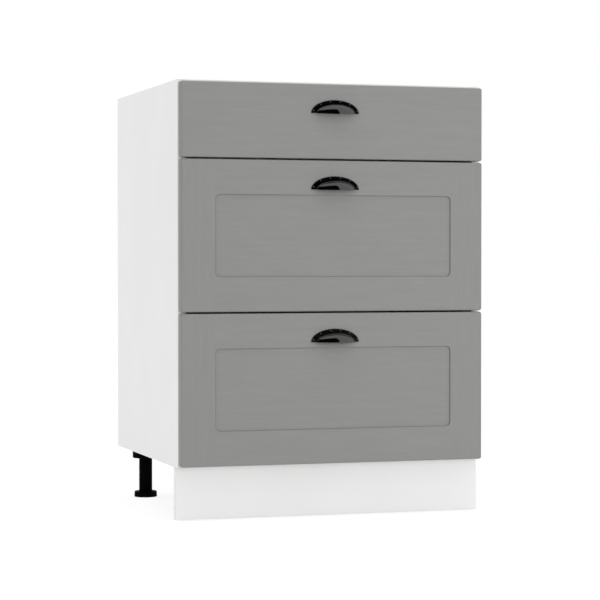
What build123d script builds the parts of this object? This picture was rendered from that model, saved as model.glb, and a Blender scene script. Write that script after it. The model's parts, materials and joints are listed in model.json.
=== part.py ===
from build123d import *
import os
from collections import namedtuple
from math import cos, radians, sin

# A kitchen base cabinet with three drawers.
# Millimetres, +Z up, fronts facing -Y.
# The origin is on the floor, in the middle of the overall outline.

# Carcass
width = 600.0
carcass_height = 720.0
floor_gap = 100.0
board = 16.0
board_edge_radius = 0.8
rail_depth = 90.0
back_thickness = 3.0
back_inset = 10.0
back_groove_depth = 8.0
back_side_clearance = 0.5

# Drawer fronts
front_thickness = 18.0
front_side_reveal = 2.0
front_top_reveal = 4.0
front_bottom_reveal = 3.0
front_gap = 3.0
front_corner_radius = 4.0
front_edge_radius = 3.0
top_front_height = 140.0
bumper_gap = 1.5
frame_width = 65.0
recess_depth = 2.5
recess_corner_radius = 9.0
recess_lip_radius = 0.6
recess_root_radius = 0.8

# Cup pulls
pull_length = 94.0
pull_height = 25.0
pull_drop = 29.7
flange_band = 8.0
flange_thickness = 2.5
flange_edge_radius = 0.8
cup_height = 17.5
cup_wall = 1.8
cup_sweep = 97.0
cup_eye_radius = 0.5
dome_radius = 1.3
dome_sink = 0.4
dome_inset = 3.0
dome_angles = (12.2, 49.3, 77.0)
pull_screw_inset = 5.2
pull_screw_rise = 4.5
pull_boss_radius = 3.5
pull_boss_height = 3.5
pull_screw_radius = 2.0
pull_screw_bite = 4.5
pull_screw_head_radius = 3.8
pull_screw_head_height = 2.4
pull_screw_slot_length = 5.6
pull_screw_slot_width = 1.0
pull_screw_slot_depth = 1.1

# Drawer boxes
box_lift = 22.0
box_length = 450.0
box_rear_space = 60.0
box_board = 16.0
top_box_height = 84.0
low_box_height = 200.0
box_edge_radius = 0.8
box_bottom_thickness = 3.0
box_bottom_lift = 10.0
box_groove_depth = 6.0
box_groove_end_gap = 0.5
groove_clearance = 0.1

# Roller runners
runner_side_gap = 12.7
runner_setback = 3.0
runner_steel = 1.2
runner_ledge = 12.0
runner_tip_gap = 0.5
runner_lift_gap = 0.5
runner_front_gap = 2.0
roller_radius = 11.0
roller_edge_radius = 0.8
roller_end_margin = 5.0
roller_near_gap = 0.6
roller_far_gap = 2.6
roller_track_gap = 0.15
axle_radius = 3.0
axle_end_gap = 0.2
axle_head_radius = 4.2
axle_head_height = 0.7
runner_screw_setback = 37.0
runner_screw_spacing = 256.0
runner_screw_radius = 2.5
runner_screw_bite = 11.0
runner_screw_head_radius = 4.0
runner_screw_head_height = 1.2
runner_screw_slot_length = 4.6
runner_screw_slot_width = 0.9
runner_screw_slot_depth = 0.8

# Fittings that join the boards
dowel_radius = 4.0
dowel_length = 30.0
dowel_chamfer = 0.8
dowel_bite = 10.0
cam_radius = 7.5
cam_cover = 3.5
cam_reach = 34.0
cam_overrun = 3.0
cam_slot_length = 9.0
cam_slot_width = 2.0
cam_slot_depth = 2.2
cam_bolt_radius = 3.0
cam_thread_radius = 2.5
cam_thread_cover = 5.0
bottom_cam_spacing = 270.0
bottom_dowel_spacing = 150.0
rail_fitting_spacing = 40.0
box_front_dowel_rise = 30.0
box_front_dowel_margin = 20.0
box_back_dowel_margin = 22.0

# Worktop fixing holes in the top rails
worktop_hole_radius = 2.5
worktop_hole_spacing = 400.0

# Legs
leg_side_inset = 42.0
leg_end_inset = 72.0
socket_radius = 26.5
socket_height = 20.0
socket_edge_radius = 1.5
socket_bore_depth = 16.0
socket_plug_radius = 5.0
socket_plug_cover = 4.0
socket_plug_spacing = 34.0
tube_radius = 13.4
stem_radius = 7.0
stem_clearance = 0.3
stem_length = 46.0
foot_radius = 23.3
foot_height = 11.5
foot_edge_radius = 1.2
foot_draft = 0.6

# Plinth
plinth_setback = 34.0
plinth_thickness = 16.0
plinth_floor_gap = 2.5
plinth_top_gap = 0.5
clip_wall = 3.0
clip_height = 18.0
clip_plate_width = 34.0
clip_plate_height = 44.0
clip_neck_width = 14.0
clip_mouth = 19.0
clip_plug_radius = 4.0
clip_plug_length = 9.0
clip_plug_spacing = 28.0

# Radial clearance of a pin in its hole, and of a wheel on its axle
pin_clearance = 0.05

# Places that follow from the sizes above
half_width = width / 2
inner_half = half_width - board
carcass_bottom = floor_gap
carcass_top = carcass_bottom + carcass_height
carcass_depth = box_length + box_rear_space
pull_projection = flange_thickness + cup_height
overall_depth = carcass_depth + bumper_gap + front_thickness + pull_projection
carcass_back = overall_depth / 2
carcass_front = carcass_back - carcass_depth
carcass_middle = (carcass_front + carcass_back) / 2
front_back = carcass_front - bumper_gap
front_face = front_back - front_thickness
front_width = width - 2 * front_side_reveal
low_front_height = (
    carcass_height - front_top_reveal - front_bottom_reveal - 2 * front_gap - top_front_height
) / 2

groove_front = carcass_back - back_inset - back_thickness - 2 * groove_clearance
bottom_panel_top = carcass_bottom + board
rail_bottom = carcass_top - board
front_rail_middle = carcass_front + rail_depth / 2
rear_rail_middle = groove_front - rail_depth / 2

cup_half = pull_length / 2 - flange_band
pull_screw_x = cup_half - cup_wall - pull_screw_inset

box_half = inner_half - runner_side_gap
box_inner_half = box_half - box_board
box_rear = front_back + box_length
runner_length = box_length
fixed_web = inner_half - runner_steel
moving_web = box_half + runner_steel
roller_width = runner_side_gap - 2 * runner_steel - roller_near_gap - roller_far_gap
axle_length = roller_near_gap + roller_width + axle_end_gap + axle_head_height
front_axle_y = carcass_front + runner_setback + roller_radius + roller_end_margin
rear_axle_y = box_rear - roller_radius - roller_end_margin
roller_rise = roller_track_gap + roller_radius
track_rise = 2 * roller_rise
fixed_top_rise = track_rise + runner_steel + runner_lift_gap + runner_steel

leg_x = half_width - leg_side_inset
front_leg_y = carcass_front + leg_end_inset
rear_leg_y = carcass_back - leg_end_inset
socket_bottom = carcass_bottom - socket_height
plinth_front = front_face + plinth_setback
plinth_back = plinth_front + plinth_thickness
plinth_top = carcass_bottom - plinth_top_gap
plinth_middle_z = (plinth_floor_gap + plinth_top) / 2

Drawer = namedtuple("Drawer", "name low height box_height framed")
bottom_low = carcass_bottom + front_bottom_reveal
middle_low = bottom_low + low_front_height + front_gap
top_low = middle_low + low_front_height + front_gap
drawers = (
    Drawer("top_drawer", top_low, top_front_height, top_box_height, False),
    Drawer("middle_drawer", middle_low, low_front_height, low_box_height, True),
    Drawer("bottom_drawer", bottom_low, low_front_height, low_box_height, True),
)
sides = {"left": -1, "right": 1}

os.makedirs("parts", exist_ok=True)


def save(piece, name):
    """Label a finished piece and write it under its own name."""
    piece.part.label = name
    export_step(piece.part, f"parts/{name}.step")


def outline(u_ends, v_ends, mode=Mode.ADD):
    """Draw a rectangle between two pairs of limits in the sketch being made."""
    u_low, u_high = sorted(u_ends)
    v_low, v_high = sorted(v_ends)
    with Locations(((u_low + u_high) / 2, (v_low + v_high) / 2)):
        Rectangle(u_high - u_low, v_high - v_low, mode=mode)


def facing(direction, points):
    """Planes at the points whose normals look along the direction."""
    return [Plane(origin=point, z_dir=direction) for point in points]


def box_bottom(drawer):
    """Height of the underside of a drawer's sides."""
    return drawer.low + box_lift


def bottom_cam_ys():
    """Places of the cam fittings along each end of the bottom panel."""
    return [carcass_middle + s * bottom_cam_spacing / 2 for s in (-1, 1)]


def bottom_dowel_ys():
    """Places of the dowels along each end of the bottom panel."""
    return [carcass_middle + s * bottom_dowel_spacing / 2 for s in (-1, 1)]


def cam_places():
    """Y and Z of every cam bolt's line, and the Z of the face that its cam lock goes in from."""
    bottom_line = carcass_bottom + board / 2
    rail_line = rail_bottom + board / 2
    places = [(y, bottom_line, carcass_bottom) for y in bottom_cam_ys()]
    for rail_middle in (front_rail_middle, rear_rail_middle):
        places.append((rail_middle - rail_fitting_spacing / 2, rail_line, rail_bottom))
    return places


def carcass_dowel_places():
    """Y and Z of every dowel's line between a side panel and the boards across."""
    places = [(y, carcass_bottom + board / 2) for y in bottom_dowel_ys()]
    for rail_middle in (front_rail_middle, rear_rail_middle):
        places.append((rail_middle + rail_fitting_spacing / 2, rail_bottom + board / 2))
    return places


def runner_screw_places(drawer):
    """Y and Z of the screws that hold a drawer's fixed runner to its side panel."""
    first = carcass_front + runner_screw_setback
    return [(y, box_bottom(drawer) + roller_rise) for y in (first, first + runner_screw_spacing)]


# Carcass boards

def make_side_panel(name, side):
    inward = (-side, 0, 0)
    inner_face = side * inner_half
    with BuildPart() as panel:
        with BuildSketch(Plane.XY.offset(carcass_bottom)):
            outline((side * half_width, inner_face), (carcass_front, carcass_back))
        extrude(amount=carcass_height)
        fillet(panel.edges().filter_by(Axis.Z), radius=board_edge_radius)
        with BuildSketch(Plane.XY.offset(carcass_bottom)):
            groove_back = carcass_back - back_inset
            outline((inner_face, inner_face + side * back_groove_depth), (groove_front, groove_back))
        extrude(amount=carcass_height, mode=Mode.SUBTRACT)
        with Locations(*facing(inward, [(inner_face, y, z) for y, z, _ in cam_places()])):
            Hole(cam_thread_radius + pin_clearance, board - cam_thread_cover + pin_clearance)
        with Locations(*facing(inward, [(inner_face, y, z) for y, z in carcass_dowel_places()])):
            Hole(dowel_radius + pin_clearance, dowel_bite + pin_clearance)
        for drawer in drawers:
            screws = [(inner_face, y, z) for y, z in runner_screw_places(drawer)]
            with Locations(*facing(inward, screws)):
                Hole(runner_screw_radius + pin_clearance, runner_screw_bite + pin_clearance)
    save(panel, name)


def make_cross_board(name, y_ends, low, dowel_ys, cam_ys, groove_top=None, leg_holes=(), top_holes=()):
    """A flat board between the side panels, joined to them by cam fittings and dowels."""
    line = low + board / 2
    ends = (-1, 1)
    cam_points = [(s * (inner_half - cam_reach), y, low) for s in ends for y in cam_ys]
    with BuildPart() as cross:
        with BuildSketch(Plane.XY.offset(low)):
            outline((-inner_half, inner_half), y_ends)
        extrude(amount=board)
        fillet(cross.edges().filter_by(Axis.X), radius=board_edge_radius)
        with Locations(*facing((0, 0, -1), cam_points)):
            Hole(cam_radius + pin_clearance, board - cam_cover + pin_clearance)
        for s in ends:
            with Locations(*facing((s, 0, 0), [(s * inner_half, y, line) for y in cam_ys])):
                Hole(cam_bolt_radius + pin_clearance, cam_reach)
            with Locations(*facing((s, 0, 0), [(s * inner_half, y, line) for y in dowel_ys])):
                Hole(dowel_radius + pin_clearance, dowel_length - dowel_bite + pin_clearance)
        if groove_top is not None:
            with BuildSketch(Plane.XY.offset(groove_top)):
                outline((-inner_half, inner_half), (groove_front, carcass_back - back_inset))
            extrude(amount=-back_groove_depth, mode=Mode.SUBTRACT)
        if leg_holes:
            with Locations(*facing((0, 0, -1), leg_holes)):
                Hole(socket_plug_radius + pin_clearance, board - socket_plug_cover + pin_clearance)
        if top_holes:
            with Locations(*facing((0, 0, 1), top_holes)):
                Hole(worktop_hole_radius)
    save(cross, name)


def leg_centres():
    """The four leg axes, with the name of the corner that each stands at."""
    return {
        f"{end}_{hand}": (side * leg_x, y)
        for end, y in (("front", front_leg_y), ("rear", rear_leg_y))
        for hand, side in sides.items()
    }


def leg_plug_points(z):
    return [
        (x, y + s * socket_plug_spacing / 2, z) for x, y in leg_centres().values() for s in (-1, 1)
    ]


def worktop_hole_points(y):
    return [(s * worktop_hole_spacing / 2, y, carcass_top) for s in (-1, 1)]


for hand, side in sides.items():
    make_side_panel(f"{hand}_side_panel", side)

make_cross_board(
    "bottom_panel",
    (carcass_front, carcass_back),
    carcass_bottom,
    bottom_dowel_ys(),
    bottom_cam_ys(),
    groove_top=bottom_panel_top,
    leg_holes=leg_plug_points(carcass_bottom),
)
for rail_name, middle in (("front_top_rail", front_rail_middle), ("rear_top_rail", rear_rail_middle)):
    make_cross_board(
        rail_name,
        (middle - rail_depth / 2, middle + rail_depth / 2),
        rail_bottom,
        [middle + rail_fitting_spacing / 2],
        [middle - rail_fitting_spacing / 2],
        top_holes=worktop_hole_points(middle),
    )

with BuildPart() as back_panel:
    reach = inner_half + back_groove_depth - back_side_clearance
    back_low = bottom_panel_top - back_groove_depth + back_side_clearance
    with BuildSketch(Plane.XZ.offset(-groove_front - groove_clearance)):
        outline((-reach, reach), (back_low, carcass_top - back_side_clearance))
    extrude(amount=-back_thickness)
save(back_panel, "back_panel")


# Carcass fittings

def round_bar(plane, radius, length):
    """Add a round bar that stands on the plane, along its normal, to the part being made."""
    with BuildSketch(plane) as disc:
        Circle(radius)
    extrude(disc.sketch, amount=length)


def cut_cross(plane, length, slot_width, depth):
    """Cut the cross slot of a fastener into the face that the plane lies on."""
    with BuildSketch(plane) as cross:
        Rectangle(length, slot_width)
        Rectangle(slot_width, length)
    extrude(cross.sketch, amount=-depth, mode=Mode.SUBTRACT)


with BuildPart() as cam_locks:
    for side in sides.values():
        for y, _, face in cam_places():
            centre = (side * (inner_half - cam_reach), y, face)
            round_bar(Plane(origin=centre, z_dir=(0, 0, 1)), cam_radius, board - cam_cover)
            open_face = Plane(origin=centre, z_dir=(0, 0, -1))
            cut_cross(open_face, cam_slot_length, cam_slot_width, cam_slot_depth)
    for side in sides.values():
        outer_ends = [(side * inner_half, y, line) for y, line, _ in cam_places()]
        with Locations(*facing((side, 0, 0), outer_ends)):
            Hole(cam_bolt_radius + pin_clearance, cam_reach + cam_overrun)
save(cam_locks, "cam_locks")

with BuildPart() as cam_bolts:
    for side in sides.values():
        for y, line, _ in cam_places():
            start = (side * inner_half, y, line)
            bite = board - cam_thread_cover
            round_bar(Plane(origin=start, z_dir=(-side, 0, 0)), cam_bolt_radius, cam_reach)
            round_bar(Plane(origin=start, z_dir=(side, 0, 0)), cam_thread_radius, bite)
save(cam_bolts, "cam_bolts")


def make_dowels(name, starts):
    """Dowels from their start points, each along its own direction."""
    with BuildPart() as dowels:
        for start, direction in starts:
            round_bar(Plane(origin=start, z_dir=direction), dowel_radius, dowel_length)
        chamfer(dowels.edges().filter_by(GeomType.CIRCLE), length=dowel_chamfer)
    save(dowels, name)


make_dowels(
    "carcass_dowels",
    [
        ((side * (inner_half + dowel_bite), y, z), (-side, 0, 0))
        for side in sides.values()
        for y, z in carcass_dowel_places()
    ],
)

with BuildPart() as runner_screws:
    for drawer in drawers:
        for side in sides.values():
            seats = [(side * fixed_web, y, z) for y, z in runner_screw_places(drawer)]
            for plane in facing((-side, 0, 0), seats):
                round_bar(plane, runner_screw_head_radius, runner_screw_head_height)
                head_top = plane.offset(runner_screw_head_height)
                cut_cross(
                    head_top,
                    runner_screw_slot_length,
                    runner_screw_slot_width,
                    runner_screw_slot_depth,
                )
            for plane in facing((side, 0, 0), seats):
                round_bar(plane, runner_screw_radius, runner_steel + runner_screw_bite)
save(runner_screws, "runner_screws")


# Legs and plinth

with BuildPart() as leg_sockets:
    for x, y in leg_centres().values():
        round_bar(Plane((x, y, socket_bottom)), socket_radius, socket_height)
    fillet(leg_sockets.edges().group_by(Axis.Z)[0], radius=socket_edge_radius)
    for point in leg_plug_points(carcass_bottom):
        round_bar(Plane(point), socket_plug_radius, board - socket_plug_cover)
    with Locations(*facing((0, 0, -1), [(x, y, socket_bottom) for x, y in leg_centres().values()])):
        Hole(tube_radius + pin_clearance, socket_bore_depth)
save(leg_sockets, "leg_sockets")

with BuildPart() as leg_tubes:
    tube_top = socket_bottom + socket_bore_depth
    with BuildSketch(Plane.XY.offset(foot_height)):
        with Locations(*leg_centres().values()):
            Circle(tube_radius)
            Circle(stem_radius + stem_clearance, mode=Mode.SUBTRACT)
    extrude(amount=tube_top - foot_height)
save(leg_tubes, "leg_tubes")

for corner, (x, y) in leg_centres().items():
    with BuildPart() as foot:
        with BuildSketch(Plane.XZ.offset(-y)):
            with BuildLine():
                Polyline(
                    (x, 0),
                    (x + foot_radius, 0),
                    (x + foot_radius - foot_draft, foot_height),
                    (x + stem_radius, foot_height),
                    (x + stem_radius, foot_height + stem_length),
                    (x, foot_height + stem_length),
                    close=True,
                )
            make_face()
        revolve(axis=Axis((x, y, 0), (0, 0, 1)))
        rims = foot.edges().filter_by(GeomType.CIRCLE).group_by(SortBy.RADIUS)
        fillet(rims[-1] + rims[-2], radius=foot_edge_radius)
    save(foot, f"{corner}_foot")

clip_plug_points = [
    (side * leg_x, plinth_back, plinth_middle_z + s * clip_plug_spacing / 2)
    for side in sides.values()
    for s in (-1, 1)
]

with BuildPart() as plinth_board:
    with BuildSketch(Plane.XY.offset(plinth_floor_gap)):
        outline((-half_width, half_width), (plinth_front, plinth_back))
    extrude(amount=plinth_top - plinth_floor_gap)
    fillet(plinth_board.edges().filter_by(Axis.X), radius=board_edge_radius)
    with Locations(*facing((0, 1, 0), clip_plug_points)):
        Hole(clip_plug_radius + pin_clearance, clip_plug_length + pin_clearance)
save(plinth_board, "plinth_board")

with BuildPart() as plinth_clips:
    clip_low = plinth_middle_z - clip_height / 2
    ring_inner = tube_radius + pin_clearance
    ring_outer = ring_inner + clip_wall
    for side in sides.values():
        with BuildSketch(Plane.XZ.offset(-plinth_back)):
            with Locations((side * leg_x, plinth_middle_z)):
                Rectangle(clip_plate_width, clip_plate_height)
        extrude(amount=-clip_wall)
        with BuildSketch(Plane.XY.offset(clip_low)):
            neck = (side * leg_x - clip_neck_width / 2, side * leg_x + clip_neck_width / 2)
            outline(neck, (plinth_back, front_leg_y))
            with Locations((side * leg_x, front_leg_y)):
                Circle(ring_outer)
                Circle(ring_inner, mode=Mode.SUBTRACT)
            with Locations((side * leg_x, front_leg_y + ring_outer / 2)):
                Rectangle(clip_mouth, ring_outer, mode=Mode.SUBTRACT)
        extrude(amount=clip_height)
    for plane in facing((0, -1, 0), clip_plug_points):
        round_bar(plane, clip_plug_radius, clip_plug_length)
save(plinth_clips, "plinth_clips")


# Drawer fronts and pulls

def pull_low(drawer):
    """Height of the lower edge of a drawer's pull."""
    return drawer.low + drawer.height - pull_drop - pull_height


def pull_screw_points(drawer, y):
    z = pull_low(drawer) + pull_screw_rise
    return [(s * pull_screw_x, y, z) for s in (-1, 1)]


def box_front_dowel_points(drawer, y):
    low = box_bottom(drawer) + box_front_dowel_rise
    high = box_bottom(drawer) + drawer.box_height - box_front_dowel_margin
    return [
        (side * (box_half - box_board / 2), y, z) for side in sides.values() for z in (low, high)
    ]


def box_back_dowel_points(drawer, side):
    low = box_bottom(drawer) + box_front_dowel_rise
    high = box_bottom(drawer) + drawer.box_height - box_back_dowel_margin
    return [(side * box_inner_half, box_rear - box_board / 2, z) for z in (low, high)]


def bottom_groove_ends(drawer):
    """Lower and upper limits of the groove that holds a drawer's bottom."""
    low = box_bottom(drawer) + box_bottom_lift - groove_clearance
    return low, low + box_bottom_thickness + 2 * groove_clearance


def make_front(drawer):
    middle_z = drawer.low + drawer.height / 2
    groove_half = box_inner_half + box_groove_depth
    with BuildPart() as front:
        with BuildSketch(Plane.XZ.offset(-front_back)):
            with Locations((0, middle_z)):
                RectangleRounded(front_width, drawer.height, front_corner_radius)
        extrude(amount=front_thickness)
        fillet(front.edges().group_by(Axis.Y)[0], radius=front_edge_radius)
        if drawer.framed:
            with BuildSketch(Plane.XZ.offset(-front_face)):
                with Locations((0, middle_z)):
                    RectangleRounded(
                        front_width - 2 * frame_width,
                        drawer.height - 2 * frame_width,
                        recess_corner_radius,
                    )
            extrude(amount=-recess_depth, mode=Mode.SUBTRACT)
            fillet(front.edges(Select.LAST).group_by(Axis.Y)[-1], radius=recess_root_radius)
            frame_face = front.faces().filter_by(Plane.XZ).sort_by(Axis.Y)[0]
            fillet(frame_face.inner_wires()[0].edges(), radius=recess_lip_radius)
        with BuildSketch(Plane.XZ.offset(-front_back)):
            outline((-groove_half, groove_half), bottom_groove_ends(drawer))
        extrude(amount=box_groove_depth, mode=Mode.SUBTRACT)
        with Locations(*facing((0, 1, 0), pull_screw_points(drawer, front_back))):
            Hole(pull_screw_radius + pin_clearance)
        with Locations(*facing((0, 1, 0), box_front_dowel_points(drawer, front_back))):
            Hole(dowel_radius + pin_clearance, dowel_bite + pin_clearance)
    save(front, f"{drawer.name}_front")


def make_pull(drawer):
    low = pull_low(drawer)
    flange_front = front_face - flange_thickness
    dome_half = pull_length / 2 - dome_inset
    dome_height = pull_height - dome_inset
    dome_places = [
        (dome_half * cos(radians(angle)), low + dome_height * sin(radians(angle)))
        for angle in dome_angles
    ]
    dome_points = [(s * x, flange_front + dome_sink, z) for x, z in dome_places for s in (-1, 1)]
    below_flange = (low - pull_height, low)
    below_cup = (low - pull_height, low + cup_eye_radius)
    with BuildPart() as pull:
        with BuildSketch(Plane.XZ.offset(-front_face)):
            with Locations((0, low)):
                Ellipse(pull_length / 2, pull_height)
                Ellipse(cup_half - cup_wall, cup_height - cup_wall, mode=Mode.SUBTRACT)
            outline((-pull_length, pull_length), below_flange, mode=Mode.SUBTRACT)
        extrude(amount=flange_thickness)
        rim = pull.edges().filter_by(GeomType.ELLIPSE).group_by(Axis.Y)[0].sort_by(SortBy.LENGTH)[-1]
        fillet(rim, radius=flange_edge_radius)
        with BuildSketch(Plane.XZ.offset(-flange_front)):
            with Locations((0, low)):
                Ellipse(cup_half, cup_height)
                Ellipse(cup_half - cup_wall, cup_height - cup_wall, mode=Mode.SUBTRACT)
            outline((-pull_length, pull_length), below_cup, mode=Mode.SUBTRACT)
        revolve(axis=Axis((0, flange_front, low), (1, 0, 0)), revolution_arc=cup_sweep)
        for plane in facing((0, -1, 0), pull_screw_points(drawer, front_face)):
            round_bar(plane, pull_boss_radius, flange_thickness + pull_boss_height)
        with Locations(*dome_points):
            Sphere(dome_radius)
        with Locations(*facing((0, 1, 0), pull_screw_points(drawer, front_face))):
            Hole(pull_screw_radius + pin_clearance, pull_screw_bite + pin_clearance)
    save(pull, f"{drawer.name}_pull")


def make_pull_screws(drawer):
    seats = pull_screw_points(drawer, front_back)
    with BuildPart() as screws:
        for plane in facing((0, 1, 0), seats):
            round_bar(plane, pull_screw_head_radius, pull_screw_head_height)
            head_top = plane.offset(pull_screw_head_height)
            cut_cross(
                head_top,
                pull_screw_slot_length,
                pull_screw_slot_width,
                pull_screw_slot_depth,
            )
        for plane in facing((0, -1, 0), seats):
            round_bar(plane, pull_screw_radius, front_thickness + pull_screw_bite)
    save(screws, f"{drawer.name}_pull_screws")


# Drawer boxes

def make_box_side(drawer, hand, side):
    low = box_bottom(drawer)
    inner_face = side * box_inner_half
    front_points = [p for p in box_front_dowel_points(drawer, front_back) if p[0] * side > 0]
    with BuildPart() as box_side:
        with BuildSketch(Plane.XY.offset(low)):
            outline((inner_face, side * box_half), (front_back, box_rear))
        extrude(amount=drawer.box_height)
        fillet(box_side.edges().filter_by(Axis.Y).group_by(Axis.Z)[-1], radius=box_edge_radius)
        groove_low, groove_high = bottom_groove_ends(drawer)
        with BuildSketch(Plane.XY.offset(groove_low)):
            outline((inner_face, inner_face + side * box_groove_depth), (front_back, box_rear))
        extrude(amount=groove_high - groove_low, mode=Mode.SUBTRACT)
        with Locations(*facing((0, -1, 0), front_points)):
            Hole(dowel_radius + pin_clearance, dowel_length - dowel_bite + pin_clearance)
        with Locations(*facing((-side, 0, 0), box_back_dowel_points(drawer, side))):
            Hole(dowel_radius + pin_clearance, dowel_bite + pin_clearance)
    save(box_side, f"{drawer.name}_box_{hand}_side")


def make_box_back(drawer):
    low = box_bottom(drawer) + box_bottom_lift + box_bottom_thickness
    with BuildPart() as box_back:
        with BuildSketch(Plane.XY.offset(low)):
            outline((-box_inner_half, box_inner_half), (box_rear - box_board, box_rear))
        extrude(amount=box_bottom(drawer) + drawer.box_height - low)
        fillet(box_back.edges().filter_by(Axis.X).group_by(Axis.Z)[-1], radius=box_edge_radius)
        for side in sides.values():
            with Locations(*facing((side, 0, 0), box_back_dowel_points(drawer, side))):
                Hole(dowel_radius + pin_clearance, dowel_length - dowel_bite + pin_clearance)
    save(box_back, f"{drawer.name}_box_back")


def make_box_bottom(drawer):
    reach = box_groove_depth - box_groove_end_gap
    with BuildPart() as bottom:
        with BuildSketch(Plane.XY.offset(box_bottom(drawer) + box_bottom_lift)):
            outline((-box_inner_half - reach, box_inner_half + reach), (front_back - reach, box_rear))
        extrude(amount=box_bottom_thickness)
    save(bottom, f"{drawer.name}_box_bottom")


def box_dowel_starts(drawer):
    starts = [
        ((x, y - dowel_bite, z), (0, 1, 0)) for x, y, z in box_front_dowel_points(drawer, front_back)
    ]
    for side in sides.values():
        for x, y, z in box_back_dowel_points(drawer, side):
            starts.append(((x + side * dowel_bite, y, z), (-side, 0, 0)))
    return starts


# Runners

def make_fixed_runner(drawer, hand, side):
    """A steel channel on the side panel, with the stub axle of its front roller."""
    low = box_bottom(drawer)
    top = low + fixed_top_rise
    tip = moving_web + runner_tip_gap
    section = (
        (inner_half, low - runner_steel),
        (inner_half, top),
        (tip, top),
        (tip, top - runner_steel),
        (fixed_web, top - runner_steel),
        (fixed_web, low),
        (tip, low),
        (tip, low - runner_steel),
    )
    axle = Plane(origin=(side * fixed_web, front_axle_y, low + roller_rise), z_dir=(-side, 0, 0))
    screws = [(side * fixed_web, y, z) for y, z in runner_screw_places(drawer)]
    with BuildPart() as runner:
        with BuildSketch(Plane.XZ.offset(-carcass_front - runner_setback)):
            with BuildLine():
                Polyline(*[(side * x, z) for x, z in section], close=True)
            make_face()
        extrude(amount=-runner_length)
        add_axle(axle)
        with Locations(*facing((-side, 0, 0), screws)):
            Hole(runner_screw_radius + pin_clearance, 2 * runner_steel)
    save(runner, f"{drawer.name}_runner_{hand}_fixed")


def make_moving_runner(drawer, hand, side):
    """A steel rail under the drawer side, with the stub axle of its rear roller."""
    low = box_bottom(drawer)
    track = low + track_rise
    tip = fixed_web - runner_tip_gap
    section = (
        (box_half - runner_ledge, low - runner_steel),
        (moving_web, low - runner_steel),
        (moving_web, track),
        (tip, track),
        (tip, track + runner_steel),
        (box_half, track + runner_steel),
        (box_half, low),
        (box_half - runner_ledge, low),
    )
    start = front_back + runner_front_gap
    axle = Plane(origin=(side * moving_web, rear_axle_y, low + roller_rise), z_dir=(side, 0, 0))
    with BuildPart() as runner:
        with BuildSketch(Plane.XZ.offset(-start)):
            with BuildLine():
                Polyline(*[(side * x, z) for x, z in section], close=True)
            make_face()
        extrude(amount=start - box_rear)
        add_axle(axle)
    save(runner, f"{drawer.name}_runner_{hand}_moving")


def add_axle(plane):
    """Add a stub axle with a riveted head to the part being made."""
    round_bar(plane, axle_radius, axle_length)
    round_bar(plane.offset(axle_length - axle_head_height), axle_head_radius, axle_head_height)


def make_rollers(name, web, inward, axle_y, axle_z):
    """A pair of rollers on stub axles that stand out from the left and right webs."""
    with BuildPart() as rollers:
        for side in sides.values():
            direction = -side if inward else side
            seat = Plane(origin=(side * web, axle_y, axle_z), z_dir=(direction, 0, 0))
            with BuildSketch(seat.offset(roller_near_gap)):
                Circle(roller_radius)
                Circle(axle_radius + pin_clearance, mode=Mode.SUBTRACT)
            extrude(amount=roller_width)
        rims = rollers.edges().filter_by(GeomType.CIRCLE).group_by(SortBy.RADIUS)[-1]
        fillet(rims, radius=roller_edge_radius)
    save(rollers, name)


for drawer in drawers:
    axle_z = box_bottom(drawer) + roller_rise
    make_front(drawer)
    make_pull(drawer)
    make_pull_screws(drawer)
    make_box_back(drawer)
    make_box_bottom(drawer)
    make_dowels(f"{drawer.name}_box_dowels", box_dowel_starts(drawer))
    make_rollers(f"{drawer.name}_runner_front_rollers", fixed_web, True, front_axle_y, axle_z)
    make_rollers(f"{drawer.name}_runner_rear_rollers", moving_web, False, rear_axle_y, axle_z)
    for hand, side in sides.items():
        make_box_side(drawer, hand, side)
        make_fixed_runner(drawer, hand, side)
        make_moving_runner(drawer, hand, side)
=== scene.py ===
import json
import math

import bmesh
import bpy
from mathutils import Matrix, Vector


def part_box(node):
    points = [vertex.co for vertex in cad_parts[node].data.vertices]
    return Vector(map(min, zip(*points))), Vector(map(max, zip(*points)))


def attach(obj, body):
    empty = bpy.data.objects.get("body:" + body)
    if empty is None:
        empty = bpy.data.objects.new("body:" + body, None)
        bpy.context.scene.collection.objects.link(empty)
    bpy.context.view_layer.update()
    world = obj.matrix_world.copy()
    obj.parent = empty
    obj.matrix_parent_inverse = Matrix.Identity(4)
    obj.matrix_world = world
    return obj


# A kitchen base cabinet with three drawers: its finishes, small fasteners, studio and camera

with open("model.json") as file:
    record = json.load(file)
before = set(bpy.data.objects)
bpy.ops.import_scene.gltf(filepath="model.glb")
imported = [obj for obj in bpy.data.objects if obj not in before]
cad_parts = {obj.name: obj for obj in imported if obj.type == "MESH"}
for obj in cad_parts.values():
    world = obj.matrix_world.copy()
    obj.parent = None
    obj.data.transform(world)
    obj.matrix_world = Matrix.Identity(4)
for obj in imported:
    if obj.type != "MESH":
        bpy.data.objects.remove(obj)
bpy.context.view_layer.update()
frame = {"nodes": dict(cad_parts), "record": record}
nodes = frame["nodes"]
scene = bpy.context.scene
MM = 0.001

# Names of the pieces that repeat
drawer_names = ("top_drawer", "middle_drawer", "bottom_drawer")
plain_drawer = "top_drawer"
foot_names = ("front_left_foot", "front_right_foot", "rear_left_foot", "rear_right_foot")
carcass_boards = ("left_side_panel", "right_side_panel", "bottom_panel", "front_top_rail", "rear_top_rail")

# Sizes of the model that finishes and small pieces follow
edge_band = 0.9 * MM
edge_band_seam = 0.22 * MM
frame_width = 65 * MM
recess_corner = 9 * MM
pull_height = 25 * MM
flange_thickness = 2.5 * MM
cup_half_length = 39 * MM
cup_height = 17.5 * MM
runner_steel = 1.2 * MM

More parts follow.
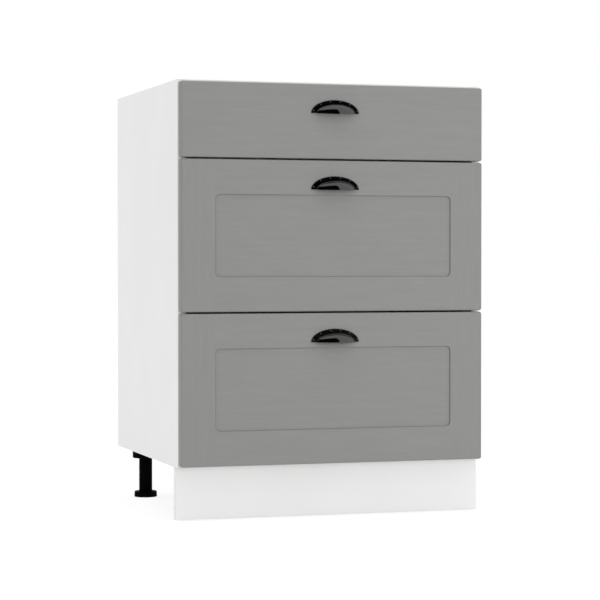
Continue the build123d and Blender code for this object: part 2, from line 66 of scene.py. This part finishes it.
# Places read from the frame
side_low, side_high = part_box("left_side_panel")
front_low, front_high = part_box("middle_drawer_front")
carcass_front = side_low.y
front_back = front_high.y
flange_front = front_low.y - flange_thickness
stile_edge = front_high.x - frame_width

rearward, forward = (0.0, 1.0, 0.0), (0.0, -1.0, 0.0)
upward, downward = (0.0, 0.0, 1.0), (0.0, 0.0, -1.0)


# Node helpers

class Shader:
    """A principled material, with short calls that add the nodes which feed it."""

    def __init__(self, name, **constants):
        self.material = bpy.data.materials.new(name)
        self.material.use_nodes = True
        self.tree = self.material.node_tree
        self.bsdf = self.tree.nodes["Principled BSDF"]
        for socket, value in constants.items():
            self.bsdf.inputs[socket.replace("_", " ")].default_value = value
        self.coordinates = self.tree.nodes.new("ShaderNodeTexCoord")

    def feed(self, socket, value):
        """Links a socket to another one, or sets it to a plain value."""
        if isinstance(value, bpy.types.NodeSocket):
            self.tree.links.new(value, socket)
        else:
            socket.default_value = value

    def math(self, operation, *values):
        node = self.tree.nodes.new("ShaderNodeMath")
        node.operation = operation
        for socket, value in zip(node.inputs, values):
            self.feed(socket, value)
        return node.outputs[0]

    def squares(self, first, second):
        """The sum of two squares."""
        return self.math("ADD", self.math("MULTIPLY", first, first), self.math("MULTIPLY", second, second))

    def axes(self, vector=None):
        """X, Y and Z of a vector, by default of the place in the part's frame."""
        node = self.tree.nodes.new("ShaderNodeSeparateXYZ")
        self.feed(node.inputs[0], vector or self.coordinates.outputs["Object"])
        return node.outputs

    def vector(self, x, y, z):
        node = self.tree.nodes.new("ShaderNodeCombineXYZ")
        for socket, value in zip(node.inputs, (x, y, z)):
            self.feed(socket, value)
        return node.outputs[0]

    def scaled(self, size_x, size_y, size_z):
        """The place in the part's frame, divided by a feature's size along each axis."""
        node = self.tree.nodes.new("ShaderNodeMapping")
        self.feed(node.inputs["Vector"], self.coordinates.outputs["Object"])
        node.inputs["Scale"].default_value = (1 / size_x, 1 / size_y, 1 / size_z)
        return node.outputs[0]

    def noise(self, vector, detail=3.0, roughness=0.55, distortion=0.0):
        node = self.tree.nodes.new("ShaderNodeTexNoise")
        self.feed(node.inputs["Vector"], vector)
        node.inputs["Scale"].default_value = 1.0
        node.inputs["Detail"].default_value = detail
        node.inputs["Roughness"].default_value = roughness
        node.inputs["Distortion"].default_value = distortion
        return node.outputs["Fac"]

    def grains(self, size, **settings):
        """Noise whose features have the same size along all axes."""
        return self.noise(self.scaled(size, size, size), **settings)

    def flakes(self, size):
        """A number from 0 to 1 that jumps from one cell of a random mosaic to the next."""
        node = self.tree.nodes.new("ShaderNodeTexVoronoi")
        self.feed(node.inputs["Vector"], self.scaled(size, size, size))
        node.inputs["Scale"].default_value = 1.0
        return self.axes(node.outputs["Color"])[0]

    def faces(self, direction):
        """1 on flat faces that look along a direction in the part's frame, 0 on the others."""
        node = self.tree.nodes.new("ShaderNodeVectorMath")
        node.operation = "DOT_PRODUCT"
        self.feed(node.inputs[0], self.coordinates.outputs["Normal"])
        node.inputs[1].default_value = direction
        return self.ranged(node.outputs["Value"], 0.8, 0.9, 0.0, 1.0)

    def ranged(self, value, low, high, to_low, to_high, smooth=False):
        """A value's range from low to high, carried over to another range and held at its ends."""
        node = self.tree.nodes.new("ShaderNodeMapRange")
        node.interpolation_type = "SMOOTHSTEP" if smooth else "LINEAR"
        for socket, item in zip(node.inputs, (value, low, high, to_low, to_high)):
            self.feed(socket, item)
        return node.outputs[0]

    def spread(self, noise, to_low, to_high):
        """Noise, most of which lies from 0.3 to 0.7, carried over to another range."""
        return self.ranged(noise, 0.3, 0.7, to_low, to_high)

    def mix(self, factor, first, second, blend_type="MIX"):
        """Between two colours, plain or linked, by a factor."""
        node = self.tree.nodes.new("ShaderNodeMix")
        node.data_type = "RGBA"
        node.blend_type = blend_type
        self.feed(node.inputs[0], factor)
        colour_inputs = [socket for socket in node.inputs if socket.type == "RGBA"]
        for socket, value in zip(colour_inputs, (first, second)):
            self.feed(socket, value)
        return [socket for socket in node.outputs if socket.type == "RGBA"][0]

    def tinted(self, colour, factor):
        """A colour made darker or lighter by a linked factor near 1."""
        grey = self.tree.nodes.new("ShaderNodeCombineColor")
        for socket in grey.inputs:
            self.feed(socket, factor)
        return self.mix(1.0, colour, grey.outputs[0], "MULTIPLY")

    def bump(self, height, distance, strength=1.0):
        node = self.tree.nodes.new("ShaderNodeBump")
        node.inputs["Strength"].default_value = strength
        node.inputs["Distance"].default_value = distance
        self.feed(node.inputs["Height"], height)
        return node.outputs[0]

    def finish(self, colour, roughness, normal):
        for name, value in (("Base Color", colour), ("Roughness", roughness), ("Normal", normal)):
            self.feed(self.bsdf.inputs[name], value)
        return self.material


def rgb(red, green, blue):
    return (red, green, blue, 1.0)


# Materials

def white_board(name, *raw_directions):
    """White melamine with a fine pearl texture and an edge band. Faces that look along a raw direction
    are bare chipboard."""
    shader = Shader(name, Specular_IOR_Level=0.45)
    pearl = shader.grains(1.1 * MM, detail=2.0)
    cloud = shader.grains(140 * MM, detail=4.0)
    y = shader.axes()[1]
    from_seam = shader.math("ABSOLUTE", shader.math("SUBTRACT", y, carcass_front + edge_band))
    seam = shader.ranged(from_seam, 0.0, edge_band_seam, 0.93, 1.0, smooth=True)
    tone = shader.math("MULTIPLY", shader.spread(cloud, 0.985, 1.01), seam)
    colour = shader.tinted(rgb(0.85, 0.85, 0.847), tone)
    roughness = shader.spread(pearl, 0.34, 0.46)
    relief = shader.math("MULTIPLY", pearl, 0.35)
    if raw_directions:
        raw = 0.0
        for direction in raw_directions:
            raw = shader.math("MAXIMUM", raw, shader.faces(direction))
        flake = shader.flakes(2.1 * MM)
        dust = shader.grains(0.9 * MM)
        chips = shader.mix(flake, rgb(0.40, 0.27, 0.15), rgb(0.66, 0.50, 0.31))
        chips = shader.tinted(chips, shader.spread(dust, 0.75, 1.1))
        grit = shader.math("MULTIPLY", shader.math("SUBTRACT", flake, dust), raw)
        colour = shader.mix(raw, colour, chips)
        roughness = shader.math("ADD", roughness, shader.math("MULTIPLY", raw, 0.4))
        relief = shader.math("ADD", relief, grit)
    return shader.finish(colour, roughness, shader.bump(relief, 0.05 * MM))


def frame_grain(shader, x, z):
    """The places along and across the grain of a framed front, which runs upright on the stiles."""
    change_width = 0.4 * MM
    from_centre = shader.math("ABSOLUTE", x)
    stile = shader.ranged(from_centre, stile_edge, stile_edge + change_width, 0.0, 1.0)
    rail = shader.math("SUBTRACT", 1.0, stile)

    def turned(on_rail, on_stile):
        rail_share = shader.math("MULTIPLY", on_rail, rail)
        return shader.math("ADD", rail_share, shader.math("MULTIPLY", on_stile, stile))

    return turned(x, z), turned(z, x)


def painted_recess_shade(shader, x, z, low_z, high_z):
    """Painted shade: a darker line in the crease round a framed front's sunk panel, where shade would fall.
    """
    from_middle = shader.math("ABSOLUTE", shader.math("SUBTRACT", z, (low_z + high_z) / 2))
    corner_x = stile_edge - recess_corner
    corner_z = (high_z - low_z) / 2 - frame_width - recess_corner
    over_x = shader.math("SUBTRACT", shader.math("ABSOLUTE", x), corner_x)
    over_z = shader.math("SUBTRACT", from_middle, corner_z)
    # Smoothing of this width rounds the line as the recess's corners are rounded
    rounding = 1.76 * recess_corner
    edge = shader.math("SMOOTH_MAX", over_x, over_z, rounding)
    inside_from, inside_to = recess_corner - 1.6 * MM, recess_corner - 0.4 * MM
    outside_from, outside_to = recess_corner + 0.1 * MM, recess_corner + 0.5 * MM
    inside = shader.ranged(edge, inside_from, inside_to, 0.0, 1.0, smooth=True)
    outside = shader.ranged(edge, outside_from, outside_to, 1.0, 0.0)
    # The painted shade takes the crease line down to 0.8 of the foil's colour
    return shader.ranged(shader.math("MULTIPLY", inside, outside), 0.0, 1.0, 1.0, 0.8)


def grey_foil(name, framed, low_z, high_z):
    """Matt grey foil with embossed wood grain, painted shade in the crease round a framed front's recess, and
    white on the back.
    """
    shader = Shader(name, Specular_IOR_Level=0.4)
    x, y, z = shader.axes()
    along, across = frame_grain(shader, x, z) if framed else (x, z)

    def streaks(length, breadth, detail, distortion=0.0):
        place = shader.vector(
            shader.math("MULTIPLY", along, 1 / length),
            shader.math("MULTIPLY", y, 1 / breadth),
            shader.math("MULTIPLY", across, 1 / breadth),
        )
        return shader.noise(place, detail, 0.6, distortion)

    figure = streaks(120 * MM, 9 * MM, 3.0, 0.2)
    fibre = streaks(40 * MM, 2.2 * MM, 3.0)
    pores = streaks(11 * MM, 0.6 * MM, 1.0)
    pits = shader.ranged(pores, 0.62, 0.72, 0.0, 1.0)
    tone = shader.math("MULTIPLY", shader.spread(figure, 0.975, 1.025), shader.spread(fibre, 0.97, 1.03))
    tone = shader.math("MULTIPLY", tone, shader.ranged(pits, 0.0, 1.0, 1.0, 0.965))
    # Framed fronts get a painted shade line in the crease of their recess
    if framed:
        tone = shader.math("MULTIPLY", tone, painted_recess_shade(shader, x, z, low_z, high_z))
    grey = shader.tinted(rgb(0.2585, 0.2576, 0.2504), tone)
    white = shader.tinted(rgb(0.84, 0.84, 0.83), shader.spread(figure, 0.99, 1.01))
    back = shader.faces(rearward)
    relief = shader.math("SUBTRACT", shader.math("MULTIPLY", fibre, 0.35), pits)
    relief = shader.math("MULTIPLY", relief, shader.math("SUBTRACT", 1.0, back))
    return shader.finish(
        shader.mix(back, grey, white),
        shader.spread(fibre, 0.44, 0.56),
        shader.bump(relief, 0.05 * MM, 0.5),
    )


def black_enamel(name, low_z):
    """Gloss black enamel with slight orange peel, and a painted highlight, a lighter colour, on the small
    domes of the flange.
    """
    shader = Shader(name, IOR=1.82)
    x, y, z = shader.axes()
    across = shader.math("DIVIDE", x, cup_half_length)
    up = shader.math("DIVIDE", shader.math("SUBTRACT", z, low_z), cup_height)
    beside_cup = shader.ranged(shader.squares(across, up), 1.03, 1.06, 0.0, 1.0)
    dome_foot, dome_flank = flange_front - 0.1 * MM, flange_front - 0.3 * MM
    proud = shader.ranged(y, dome_flank, dome_foot, 1.0, 0.0)
    painted_dome_highlight = shader.math("MULTIPLY", proud, beside_cup)
    peel = shader.grains(1.6 * MM, detail=2.0)
    smear = shader.noise(shader.scaled(12 * MM, 6 * MM, 6 * MM))
    black = shader.tinted(rgb(0.0012, 0.0012, 0.0013), shader.spread(smear, 0.8, 1.25))
    return shader.finish(
        # The lighter colour on the domes is a painted highlight
        shader.mix(painted_dome_highlight, black, rgb(0.055, 0.054, 0.052)),
        shader.ranged(smear, 0.25, 0.75, 0.05, 0.1),
        shader.bump(peel, 0.03 * MM, 0.06),
    )


def black_plastic():
    """Moulded black plastic with a spark-eroded skin."""
    shader = Shader("black_plastic", Specular_IOR_Level=0.03)
    skin = shader.grains(0.7 * MM, detail=2.0)
    flow = shader.noise(shader.scaled(20 * MM, 20 * MM, 45 * MM), distortion=0.8)
    return shader.finish(
        shader.tinted(rgb(0.0014, 0.0014, 0.0015), shader.spread(flow, 0.8, 1.3)),
        shader.spread(skin, 0.6, 0.8),
        shader.bump(skin, 0.06 * MM, 0.5),
    )


def white_steel():
    """White powder coat on pressed steel, scuffed along the drawers' travel."""
    shader = Shader("white_powder_coat", Specular_IOR_Level=0.5)
    peel = shader.grains(1.3 * MM, detail=2.0)
    scuff = shader.noise(shader.scaled(4 * MM, 90 * MM, 1.2 * MM))
    return shader.finish(
        shader.tinted(rgb(0.74, 0.74, 0.72), shader.ranged(scuff, 0.55, 0.8, 1.0, 0.9)),
        shader.ranged(scuff, 0.3, 0.8, 0.3, 0.5),
        shader.bump(peel, 0.06 * MM, 0.5),
    )


def roller_plastic(name, axis_y, axis_z):
    """Off-white moulded rollers with faint rings round their axis."""
    shader = Shader(name, Specular_IOR_Level=0.45, Subsurface_Weight=0.08, Subsurface_Scale=2 * MM)
    _, y, z = shader.axes()
    from_y = shader.math("SUBTRACT", y, axis_y)
    from_z = shader.math("SUBTRACT", z, axis_z)
    radius = shader.math("SQRT", shader.squares(from_y, from_z))
    ring_pitch = 0.9 * MM
    rings = shader.math("SINE", shader.math("MULTIPLY", radius, 2 * math.pi / ring_pitch))
    wear = shader.noise(shader.scaled(2 * MM, 6 * MM, 6 * MM))
    return shader.finish(
        shader.tinted(rgb(0.70, 0.695, 0.65), shader.ranged(wear, 0.3, 0.75, 1.03, 0.9)),
        shader.spread(wear, 0.32, 0.5),
        shader.bump(rings, 0.04 * MM, 0.4),
    )


def zinc_steel():
    """Bright zinc on steel, with drawn lines and a mottled spangle."""
    shader = Shader("bright_zinc", Metallic=1.0)
    drawn = shader.noise(shader.scaled(6 * MM, 0.5 * MM, 0.5 * MM))
    spangle = shader.grains(3 * MM, detail=2.0)
    return shader.finish(
        shader.tinted(rgb(0.66, 0.66, 0.64), shader.spread(spangle, 0.86, 1.08)),
        shader.spread(spangle, 0.22, 0.4),
        shader.bump(drawn, 0.03 * MM, 0.4),
    )


def beech():
    """Raw beech with short dark flecks."""
    shader = Shader("beech", Specular_IOR_Level=0.3)
    grain = shader.noise(shader.scaled(12 * MM, 12 * MM, 1.2 * MM), distortion=0.4)
    flecks = shader.noise(shader.scaled(3 * MM, 3 * MM, 0.6 * MM), detail=1.0)
    wood = shader.mix(shader.spread(grain, 0.0, 1.0), rgb(0.58, 0.40, 0.23), rgb(0.47, 0.30, 0.16))
    return shader.finish(
        shader.tinted(wood, shader.ranged(flecks, 0.6, 0.75, 1.0, 0.75)),
        shader.spread(grain, 0.55, 0.75),
        shader.bump(flecks, 0.05 * MM, 0.5),
    )


def hardboard(name, lacquered):
    """Hardboard with white lacquer on the face that looks along a direction, and raw brown elsewhere."""
    shader = Shader(name, Specular_IOR_Level=0.4)
    lacquer = shader.faces(lacquered)
    fibres = shader.grains(2.4 * MM, detail=4.0, roughness=0.7, distortion=1.2)
    patches = shader.grains(50 * MM, detail=6.0, roughness=0.75)
    brown = shader.mix(shader.spread(fibres, 0.0, 1.0), rgb(0.30, 0.185, 0.10), rgb(0.215, 0.125, 0.065))
    brown = shader.tinted(brown, shader.spread(patches, 0.93, 1.07))
    white = shader.tinted(rgb(0.80, 0.80, 0.79), shader.spread(patches, 0.98, 1.01))
    return shader.finish(
        shader.mix(lacquer, brown, white),
        shader.ranged(lacquer, 0.0, 1.0, 0.72, 0.4),
        shader.bump(fibres, 0.08 * MM, 0.35),
    )


def soft_buffer():
    """Clear soft buffers with a slightly dusty skin."""
    shader = Shader("clear_buffer", IOR=1.49, Transmission_Weight=0.7)
    dust = shader.grains(1.5 * MM)
    return shader.finish(
        shader.tinted(rgb(0.86, 0.86, 0.84), shader.ranged(dust, 0.4, 0.8, 1.0, 0.85)),
        shader.spread(dust, 0.18, 0.38),
        shader.bump(dust, 0.03 * MM, 0.3),
    )


# Each node takes the material of its slot, unless it has one of its own
slot_materials = {
    "white_board": white_board("white_melamine"),
    "black_plastic": black_plastic(),
    "white_steel": white_steel(),
    "zinc_steel": zinc_steel(),
    "beech": beech(),
}
raw_rear = white_board("white_melamine_raw_rear", rearward)
raw_underside = white_board("white_melamine_raw_underside", downward)
raw_ends = white_board("white_melamine_raw_ends", rearward, downward)
drawer_hardboard = hardboard("hardboard_drawer", upward)
node_materials = {board: raw_rear for board in carcass_boards}
node_materials["back_panel"] = hardboard("hardboard_back", forward)
for drawer in drawer_names:
    low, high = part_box(f"{drawer}_front")
    framed = drawer != plain_drawer
    node_materials[f"{drawer}_front"] = grey_foil(f"{drawer}_grey_foil", framed, low.z, high.z)
    pull_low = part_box(f"{drawer}_pull")[1].z - pull_height
    node_materials[f"{drawer}_pull"] = black_enamel(f"{drawer}_black_enamel", pull_low)
    node_materials[f"{drawer}_box_bottom"] = drawer_hardboard
    node_materials[f"{drawer}_box_back"] = raw_underside
    for hand in ("left", "right"):
        node_materials[f"{drawer}_box_{hand}_side"] = raw_ends
    for end in ("front", "rear"):
        rollers = f"{drawer}_runner_{end}_rollers"
        low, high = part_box(rollers)
        node_materials[rollers] = roller_plastic(rollers, (low.y + high.y) / 2, (low.z + high.z) / 2)


def dress(piece, material):
    piece.data.materials.clear()
    piece.data.materials.append(material)


for subpart in frame["record"]["subparts"]:
    node, slot = subpart["node"], subpart["material_slot"]
    dress(nodes[node], node_materials.get(node) or slot_materials[slot])


# Small pieces

def new_piece(name, shape, material, body):
    """Makes a piece of the object from a finished shape, and lets it ride on a body."""
    bmesh.ops.recalc_face_normals(shape, faces=shape.faces)
    mesh = bpy.data.meshes.new(name)
    shape.to_mesh(mesh)
    shape.free()
    piece = bpy.data.objects.new(name, mesh)
    scene.collection.objects.link(piece)
    dress(piece, material)
    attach(piece, body)


def standing(point, direction):
    """A matrix that puts +Z of a small piece along a direction at a point."""
    return Matrix.Translation(point) @ Vector(direction).to_track_quat("Z", "Y").to_matrix().to_4x4()


def outline(shape, place, points, height):
    """New vertices at points of a plane, at a height above the place."""
    return [shape.verts.new(place @ Vector((x, y, height))) for x, y in points]


def circle_points(radius, count):
    angles = [2 * math.pi * step / count for step in range(count)]
    return [(radius * math.cos(angle), radius * math.sin(angle)) for angle in angles]


def cross_points(half_length, half_width):
    """The twelve corners of a cross, in order round it."""
    arm = [(half_length, -half_width), (half_length, half_width), (half_width, half_width)]
    points = []
    for _ in range(4):
        points += arm
        arm = [(-y, x) for x, y in arm]
    return points


def bridge(shape, lower, upper, smooth):
    """Joins two closed loops of vertices by a band of faces."""
    for start, end, end_above, start_above in zip(lower, lower[1:] + lower[:1], upper[1:] + upper[:1], upper):
        shape.faces.new((start, end, end_above, start_above)).smooth = smooth


def turn(shape, place, profile, count):
    """A turned skin from radii and heights, closed at its base. Gives its top ring."""
    rings = [outline(shape, place, circle_points(radius, count), height) for radius, height in profile]
    for lower, upper in zip(rings, rings[1:]):
        bridge(shape, lower, upper, smooth=True)
    shape.faces.new(rings[0][::-1])
    return rings[-1]


def loop_edges(shape, loop):
    """The edges round a closed loop of vertices, made where they are missing."""
    pairs = zip(loop, loop[1:] + loop[:1])
    return [shape.edges.get(pair) or shape.edges.new(pair) for pair in pairs]


# Screw heads that hold the moving runners, seated on the outer face of each runner's web
runner_screw_ys = (-182 * MM, 18 * MM, 120 * MM)
screw_head = ((3.6 * MM, 0.0), (3.6 * MM, 0.5 * MM), (3.2 * MM, 1.0 * MM), (2.5 * MM, 1.3 * MM))
screw_head_sides = 32
cross_half_length, cross_half_width, cross_depth = 1.7 * MM, 0.35 * MM, 0.7 * MM
cross_taper = 0.8


def add_screw_head(shape, place):
    """A turned head whose flat top has a cross recess."""
    top_ring = turn(shape, place, screw_head, screw_head_sides)
    top = screw_head[-1][1]
    rim_points = cross_points(cross_half_length, cross_half_width)
    floor_points = [(cross_taper * x, cross_taper * y) for x, y in rim_points]
    rim = outline(shape, place, rim_points, top)
    recess_floor = outline(shape, place, floor_points, top - cross_depth)
    bridge(shape, recess_floor, rim, smooth=False)
    shape.faces.new(recess_floor)
    edges = loop_edges(shape, top_ring) + loop_edges(shape, rim)
    bmesh.ops.triangle_fill(shape, use_beauty=True, use_dissolve=False, edges=edges)


for drawer in drawer_names:
    low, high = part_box(f"{drawer}_runner_rear_rollers")
    axle_z = (low.z + high.z) / 2
    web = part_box(f"{drawer}_box_right_side")[1].x + runner_steel
    shape = bmesh.new()
    for side in (-1, 1):
        for y in runner_screw_ys:
            add_screw_head(shape, standing((side * web, y, axle_z), (side, 0, 0)))
    new_piece(f"{drawer}_moving_runner_screws", shape, slot_materials["zinc_steel"], drawer)

# Clear buffers on the backs of the fronts, which meet the edges of the side panels
buffer_profile = (
    (4.0 * MM, 0.0),
    (4.0 * MM, 0.45 * MM),
    (3.7 * MM, 0.85 * MM),
    (3.0 * MM, 1.15 * MM),
    (1.8 * MM, 1.32 * MM),
    (0.5 * MM, 1.38 * MM),
)
buffer_sides = 28
buffer_seat = 0.05 * MM
buffer_inset = 14 * MM
buffer_x = (side_low.x + side_high.x) / 2
buffer_material = soft_buffer()
for drawer in drawer_names:
    low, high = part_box(f"{drawer}_front")
    shape = bmesh.new()
    for x in (buffer_x, -buffer_x):
        for z in (low.z + buffer_inset, high.z - buffer_inset):
            place = standing((x, front_back + buffer_seat, z), rearward)
            shape.faces.new(turn(shape, place, buffer_profile, buffer_sides))
    new_piece(f"{drawer}_buffers", shape, buffer_material, drawer)

# Threads on the stems of the feet, from above the pad to below the stem's end
thread_pitch = 2.0 * MM
thread_steps = 28
thread_root, thread_crest = 6.95 * MM, 7.22 * MM
thread_ridge = (
    (thread_root, 0.0),
    (thread_crest, 0.65 * MM),
    (thread_crest, 0.85 * MM),
    (thread_root, 1.5 * MM),
)
thread_above_floor, thread_below_end = 13 * MM, 2 * MM
for foot in foot_names:
    low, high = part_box(foot)
    centre = (low + high) / 2
    start, end = low.z + thread_above_floor, high.z - thread_below_end
    turns = int((end - start) / thread_pitch) - 1
    shape = bmesh.new()
    rows = []
    for step in range(turns * thread_steps + 1):
        angle = 2 * math.pi * step / thread_steps
        z = start + thread_pitch * step / thread_steps
        outward = Vector((math.cos(angle), math.sin(angle), 0.0))
        axis_point = Vector((centre.x, centre.y, z))
        rows.append([
            shape.verts.new(axis_point + radius * outward + Vector((0.0, 0.0, rise)))
            for radius, rise in thread_ridge
        ])
    for before, after in zip(rows, rows[1:]):
        bridge(shape, before, after, smooth=False)
    shape.faces.new(rows[0])
    shape.faces.new(rows[-1][::-1])
    new_piece(f"{foot}_thread", shape, slot_materials["black_plastic"], foot)


# Studio

def seen_directly(tree):
    """1 for rays from the camera and those that gloss or glass sends on, 0 for light on the object."""
    path = tree.nodes.new("ShaderNodeLightPath")
    seen = path.outputs["Is Camera Ray"]
    for ray in ("Is Glossy Ray", "Is Transmission Ray"):
        either = tree.nodes.new("ShaderNodeMath")
        either.operation = "MAXIMUM"
        tree.links.new(seen, either.inputs[0])
        tree.links.new(path.outputs[ray], either.inputs[1])
        seen = either.outputs[0]
    return seen


def show_and_light(tree, shown, lighting, output):
    """Gives an output one shader where it is seen directly, and another where it lights the object."""
    choice = tree.nodes.new("ShaderNodeMixShader")
    tree.links.new(seen_directly(tree), choice.inputs[0])
    tree.links.new(lighting.outputs[0], choice.inputs[1])
    tree.links.new(shown.outputs[0], choice.inputs[2])
    tree.links.new(choice.outputs[0], tree.nodes[output].inputs["Surface"])


def pale_floor():
    """A floor that shows nearly white, but keeps the object's shadow."""
    material = bpy.data.materials.new("pale_floor")
    material.use_nodes = True
    tree = material.node_tree
    tree.nodes.remove(tree.nodes["Principled BSDF"])
    lighting = tree.nodes.new("ShaderNodeBsdfDiffuse")
    lighting.inputs["Color"].default_value = rgb(0.78, 0.78, 0.78)
    shaded = tree.nodes.new("ShaderNodeBsdfDiffuse")
    shaded.inputs["Color"].default_value = rgb(0.22, 0.22, 0.22)
    glow = tree.nodes.new("ShaderNodeEmission")
    glow.inputs["Strength"].default_value = 0.83
    shown = tree.nodes.new("ShaderNodeAddShader")
    tree.links.new(shaded.outputs[0], shown.inputs[0])
    tree.links.new(glow.outputs[0], shown.inputs[1])
    show_and_light(tree, shown, lighting, "Material Output")
    return material


def dark_cloth():
    """Dull black for the screen that gloss mirrors."""
    material = bpy.data.materials.new("dark_screen")
    material.use_nodes = True
    bsdf = material.node_tree.nodes["Principled BSDF"]
    bsdf.inputs["Base Color"].default_value = rgb(0.002, 0.002, 0.002)
    bsdf.inputs["Specular IOR Level"].default_value = 0.0
    return material


def stage_piece(name, points, faces, material):
    mesh = bpy.data.meshes.new(name)
    mesh.from_pydata(points, [], faces)
    mesh.materials.append(material)
    piece = bpy.data.objects.new(name, mesh)
    scene.collection.objects.link(piece)
    return piece


floor_reach = 30.0
floor_corners = [
    (floor_reach * x, floor_reach * y, 0.0)
    for x, y in ((-1, -1), (1, -1), (1, 1), (-1, 1))
]
floor = stage_piece("floor", floor_corners, [(0, 1, 2, 3)], pale_floor())

# The world shows plain white, and lights the object a little less
ambient_strength = 0.892
world = bpy.data.worlds.new("studio")
scene.world = world
world.use_nodes = True
sky = world.node_tree
backdrop = sky.nodes["Background"]
ambient = sky.nodes.new("ShaderNodeBackground")
for background, strength in ((backdrop, 1.0), (ambient, ambient_strength)):
    background.inputs["Color"].default_value = rgb(1.0, 1.0, 1.0)
    background.inputs["Strength"].default_value = strength
show_and_light(sky, backdrop, ambient, "World Output")


def soft_box(name, place, target, size, power):
    light = bpy.data.lights.new(name, "AREA")
    light.shape = "RECTANGLE"
    light.size, light.size_y = size
    light.energy = power
    lamp = bpy.data.objects.new(name, light)
    lamp.location = place
    lamp.rotation_euler = (Vector(target) - Vector(place)).to_track_quat("-Z", "Y").to_euler()
    lamp.visible_glossy = False
    scene.collection.objects.link(lamp)


cabinet_top, cabinet_middle = (0.0, 0.0, 0.8), (0.0, 0.0, 0.42)
soft_box("top_light", (0.0, -0.4, 3.4), cabinet_top, (2.4, 2.4), 8.0)
soft_box("front_fill", (1.7, -3.7, 0.75), cabinet_middle, (1.6, 1.4), 38.2)
soft_box("left_fill", (-3.6, 0.6, 1.7), cabinet_middle, (2.2, 2.2), 16.6)

# A dark screen in front and to the left, which only gloss shows
screen_radius, screen_height = 6.0, 7.2
screen_steps = 36
screen_from, screen_to = math.radians(-150), math.radians(21.5)
screen_points = []
for step in range(screen_steps + 1):
    angle = screen_from + (screen_to - screen_from) * step / screen_steps
    x, y = screen_radius * math.sin(angle), -screen_radius * math.cos(angle)
    screen_points += [(x, y, 0.0), (x, y, screen_height)]
screen_faces = [(first, first + 2, first + 3, first + 1) for first in range(0, 2 * screen_steps, 2)]
screen = stage_piece("dark_screen", screen_points, screen_faces, dark_cloth())
screen.visible_camera = False
screen.visible_diffuse = False
screen.visible_transmission = False
screen.visible_volume_scatter = False
screen.visible_shadow = False

# The camera stands to the left of the middle and looks down by a degree
camera_place = (-1.2442, -3.9933, 0.4849)
camera_yaw, camera_tilt = math.radians(17.451), math.radians(1.078)
camera = bpy.data.cameras.new("camera")
camera.lens = 125.58
camera.sensor_width = 36.0
camera.clip_end = 100.0
viewer = bpy.data.objects.new("camera", camera)
viewer.location = camera_place
viewer.rotation_euler = (math.pi / 2 - camera_tilt, 0.0, -camera_yaw)
scene.collection.objects.link(viewer)
scene.camera = viewer
scene.view_settings.view_transform = "Standard"
